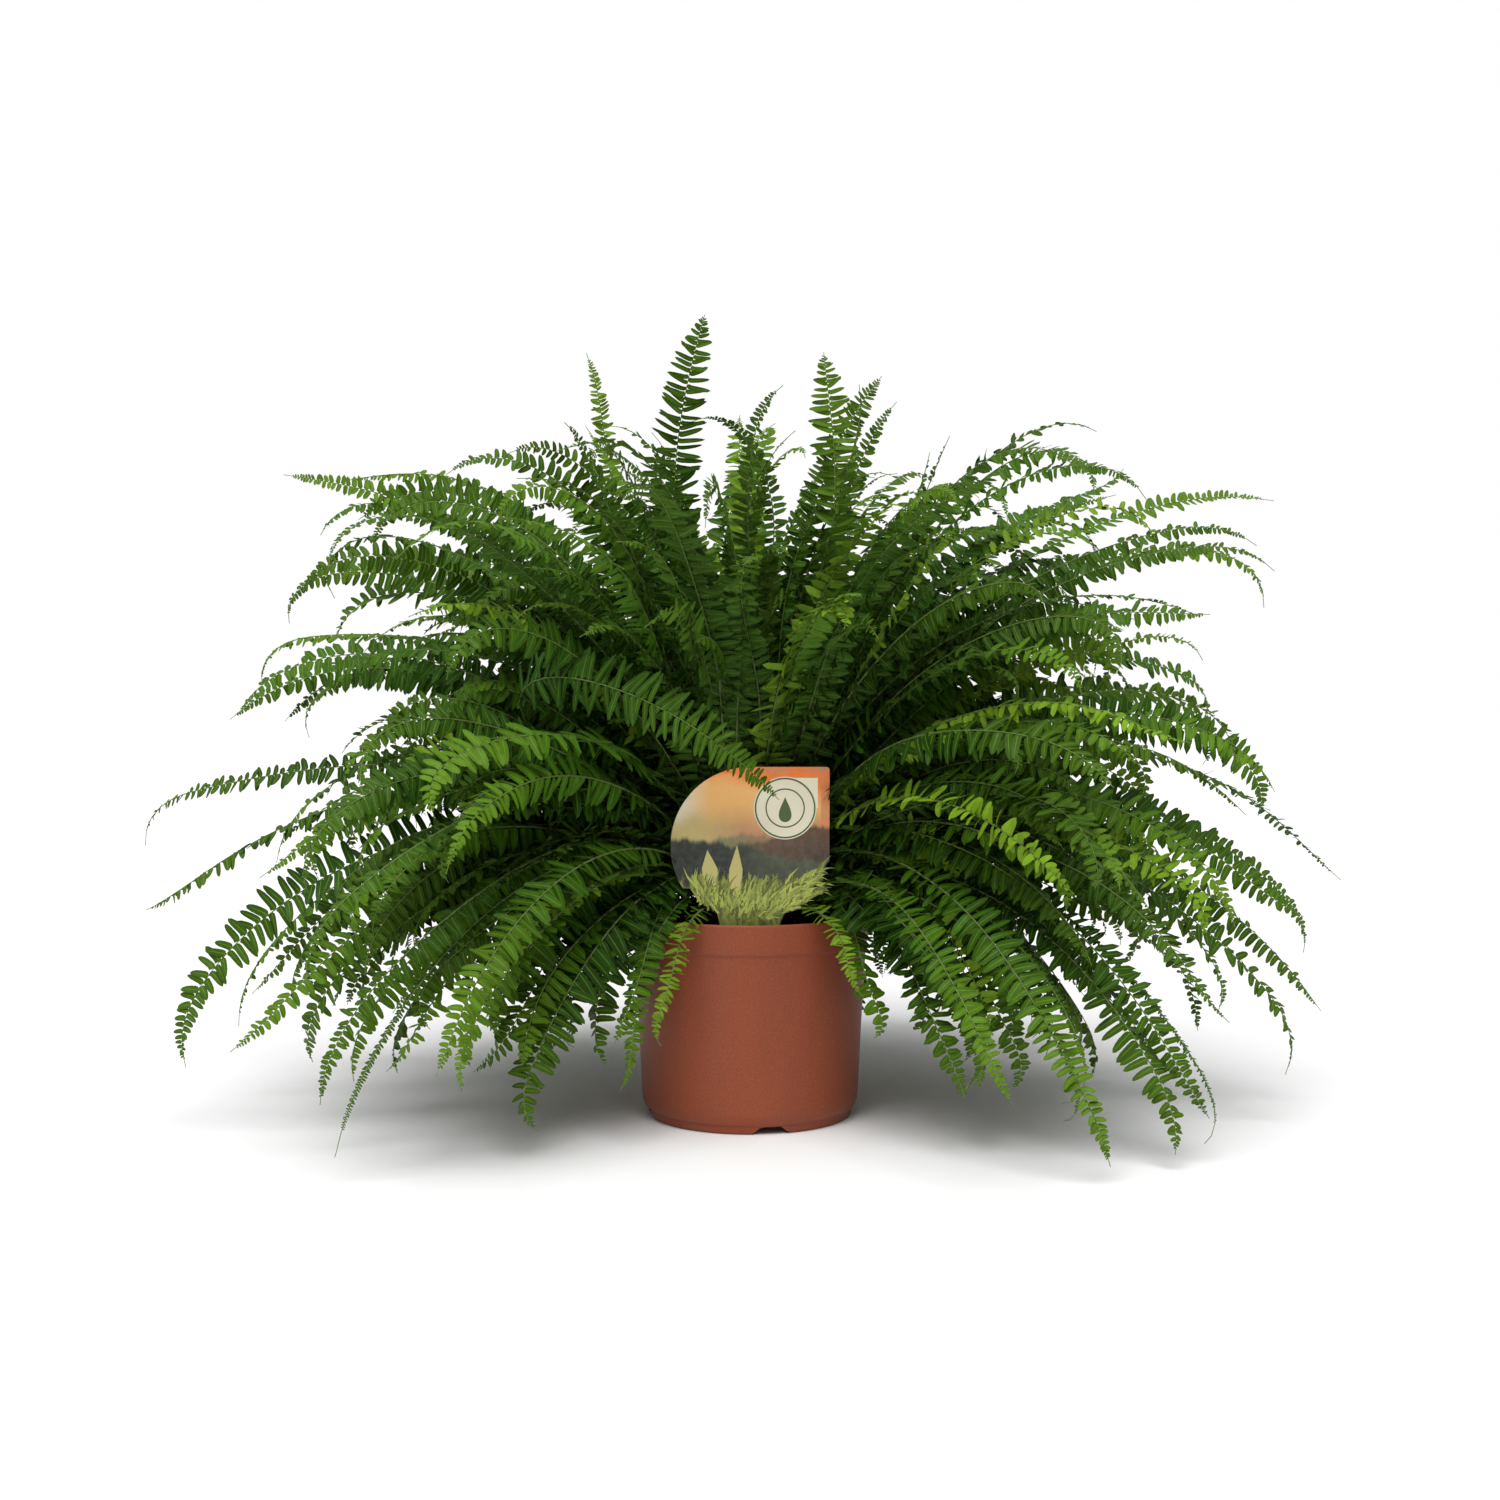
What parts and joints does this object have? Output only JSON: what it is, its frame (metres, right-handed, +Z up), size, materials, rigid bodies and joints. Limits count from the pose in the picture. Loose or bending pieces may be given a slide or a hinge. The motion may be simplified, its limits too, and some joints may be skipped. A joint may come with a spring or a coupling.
{
  "type": "potted fern",
  "caption": "Potted fern with long arching feathery fronds in a round terracotta-coloured plastic pot, with a picture label stuck into the soil.",
  "frame": {"origin": "middle of the pot's underside, on the surface that the pot stands on", "axes": "+Z up, -Y towards the front, where the picture label faces, +X to the right as seen from the front"},
  "size_m": [1.1272, 0.8177, 0.702],
  "materials": {
    "pot_plastic": "satin moulded, fine grain",
    "potting_soil": "crumbly peat and bark compost",
    "rhizome": "rough, covered in brown scales",
    "label_print": "printed sheet, semi-gloss",
    "frond_mature": "leathery leaf, soft sheen",
    "frond_mid": "leaf, soft sheen",
    "frond_young": "tender leaf, soft sheen"
  },
  "bodies": {
    "root": {"pot": "pot_plastic", "potting_soil": "potting_soil", "crown": "rhizome", "care_label": "label_print", "frond_01": "frond_mature", "frond_02": "frond_mature", "frond_03": "frond_mature", "frond_04": "frond_mature", "frond_05": "frond_mid", "frond_06": "frond_mature", "frond_07": "frond_mid", "frond_08": "frond_young", "frond_09": "frond_young", "frond_10": "frond_mid", "frond_11": "frond_mature", "frond_12": "frond_young", "frond_13": "frond_mature", "frond_14": "frond_mid", "frond_15": "frond_mid", "frond_16": "frond_mature", "frond_17": "frond_mid", "frond_18": "frond_mature", "frond_19": "frond_mature", "frond_20": "frond_mid", "frond_21": "frond_mature", "frond_22": "frond_mature", "frond_23": "frond_mid", "frond_24": "frond_mature", "frond_25": "frond_mature", "frond_26": "frond_mature", "frond_27": "frond_mid", "frond_28": "frond_young", "frond_29": "frond_mid", "frond_30": "frond_mature", "frond_31": "frond_mature", "frond_32": "frond_mature", "frond_33": "frond_mid", "frond_34": "frond_mature", "frond_35": "frond_mid", "frond_36": "frond_mature", "frond_37": "frond_mid", "frond_38": "frond_mature", "frond_39": "frond_mature", "frond_40": "frond_mid", "frond_41": "frond_mid", "frond_42": "frond_mature", "frond_43": "frond_mature", "frond_44": "frond_mature", "frond_45": "frond_mid", "frond_46": "frond_mature", "frond_47": "frond_mature", "frond_48": "frond_mid", "frond_49": "frond_mid", "frond_50": "frond_mid", "frond_51": "frond_mature", "frond_52": "frond_mid", "frond_53": "frond_mature", "frond_54": "frond_young", "frond_55": "frond_mature", "frond_56": "frond_young"}
  },
  "joints": []
}
